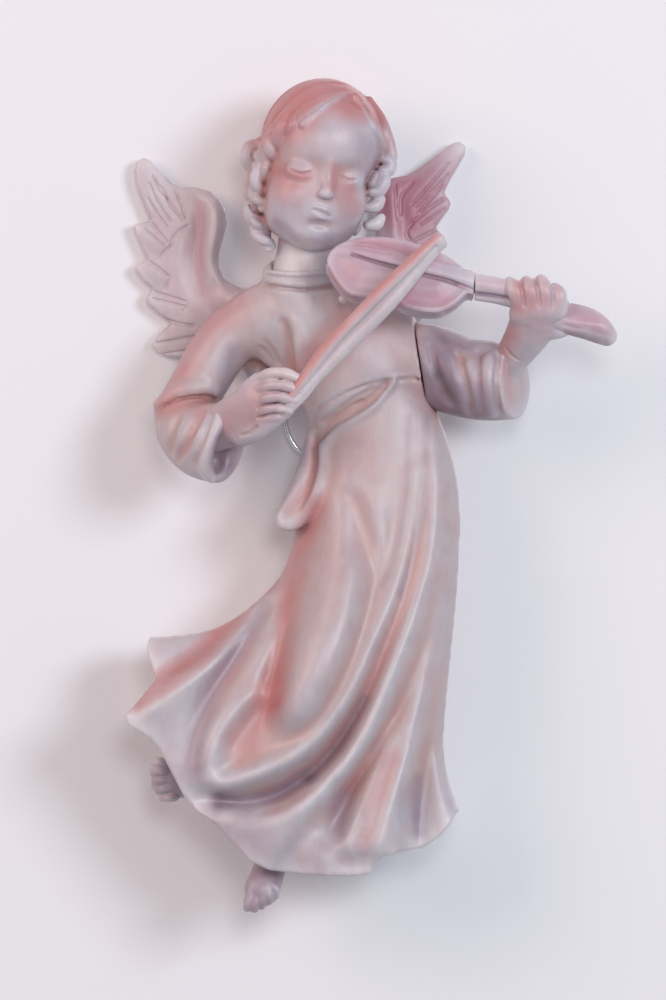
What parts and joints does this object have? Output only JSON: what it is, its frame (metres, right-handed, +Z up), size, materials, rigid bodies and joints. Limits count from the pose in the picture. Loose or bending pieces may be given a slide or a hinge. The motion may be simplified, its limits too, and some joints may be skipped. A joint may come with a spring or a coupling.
{
  "type": "resin angel figurine",
  "caption": "Wall-hung cast angel figurine playing a violin, with wings, flared robe and a split ring behind the waist for hanging.",
  "frame": {"origin": "middle of the hanging eye's loop on the back of the bodice, where the split ring swings", "axes": "+Z up as the figurine hangs, -Y the way it faces, +Y towards the wall, +X towards its left hand"},
  "size_m": [0.123, 0.0525, 0.2087],
  "materials": {
    "robe_resin": "satin cast resin, stained darker in the folds",
    "skin_resin": "satin cast resin, rosy on the cheeks",
    "wing_resin": "satin cast resin with engraved feather lines",
    "violin_resin": "satin cast resin",
    "chrome": "polished",
    "peg_wood": "plain"
  },
  "bodies": {
    "figure": {"robe": "robe_resin", "head": "skin_resin", "right_sleeve": "robe_resin", "left_sleeve": "robe_resin", "right_hand": "skin_resin", "left_hand": "skin_resin", "bow": "violin_resin", "violin_body": "violin_resin", "violin_neck": "violin_resin", "right_wing": "wing_resin", "left_wing": "wing_resin", "right_foot": "skin_resin", "left_foot": "skin_resin", "hanging_eye": "chrome", "head_peg": "peg_wood", "right_arm_peg": "peg_wood", "left_arm_peg": "peg_wood", "right_wing_peg": "peg_wood", "left_wing_peg": "peg_wood", "right_foot_peg": "peg_wood", "left_foot_peg": "peg_wood"},
    "ring": {"split_ring": "chrome"}
  },
  "joints": [
    {"name": "ring_swing", "type": "hinge", "parent": "figure", "child": "ring", "pos_m": [0, 0, 0], "axis": [1, 0, 0], "range_deg": [-4, 176]}
  ]
}
